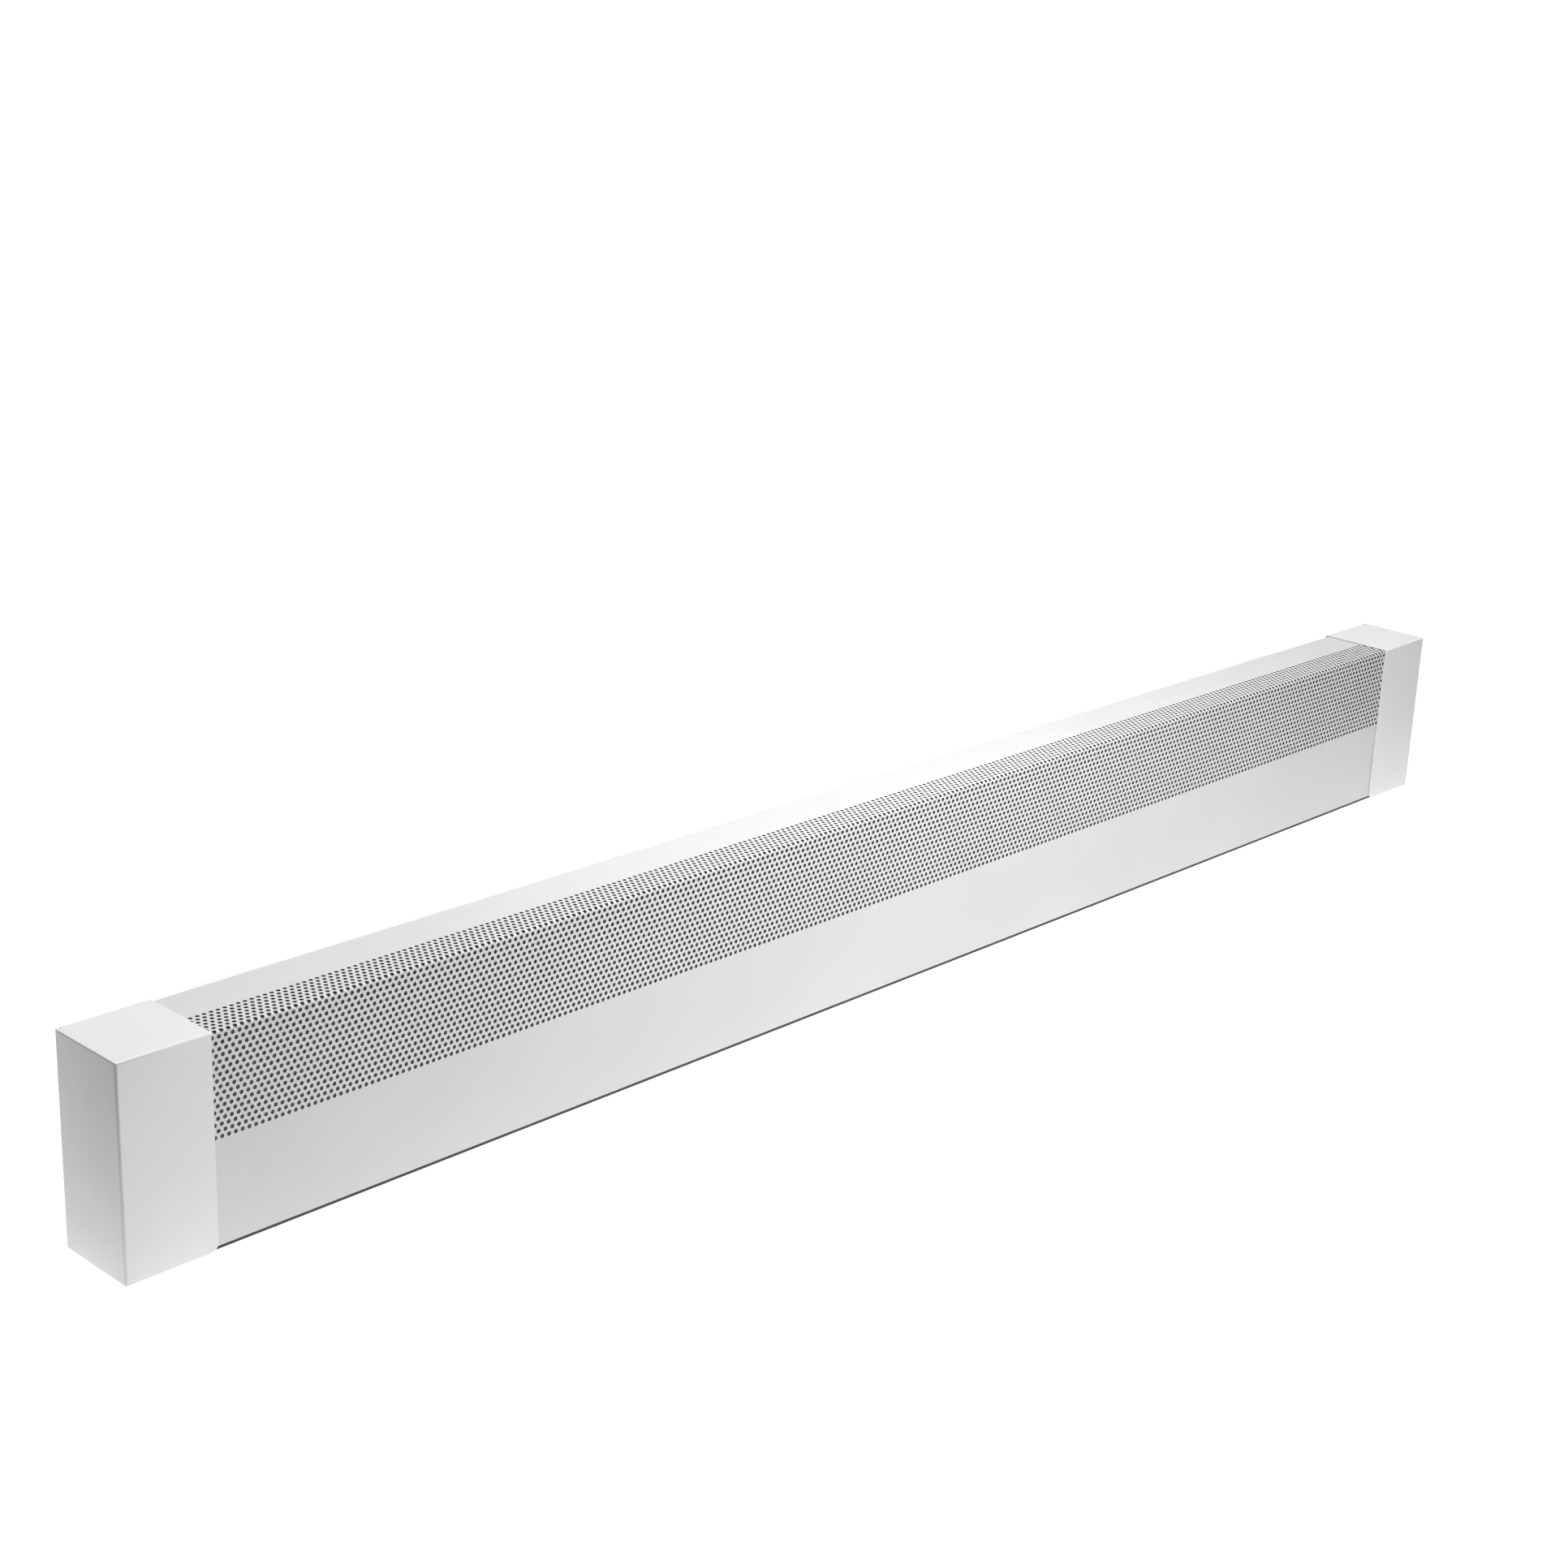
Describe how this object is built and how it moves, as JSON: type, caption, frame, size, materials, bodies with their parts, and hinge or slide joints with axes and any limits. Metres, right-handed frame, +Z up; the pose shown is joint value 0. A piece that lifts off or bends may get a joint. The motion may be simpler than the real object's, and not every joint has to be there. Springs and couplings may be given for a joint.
{
  "type": "baseboard heater cover",
  "caption": "Long perforated sheet-metal cover for a baseboard heater, L-shaped with a hooked rear lip, closed at each end by a sliding cap.",
  "frame": {"origin": "on the floor, at the centre of the assembled cover's footprint", "axes": "+X along the wall to the right as seen from the room, +Y towards the wall, +Z up"},
  "size_m": [1.9488, 0.09, 0.2002],
  "materials": {
    "panel_powder_coat": "satin white powder coat",
    "cap_powder_coat": "satin white powder coat"
  },
  "bodies": {
    "panel": {"cover_panel": "panel_powder_coat"},
    "left_cap": {"left_end_cap": "cap_powder_coat"},
    "right_cap": {"right_end_cap": "cap_powder_coat"}
  },
  "joints": [
    {"name": "left_cap_slide", "type": "slide", "parent": "panel", "child": "left_cap", "axis": [-1, 0, 0], "range_m": [-0.058, 0.1]},
    {"name": "right_cap_slide", "type": "slide", "parent": "panel", "child": "right_cap", "axis": [1, 0, 0], "range_m": [-0.058, 0.1]}
  ]
}
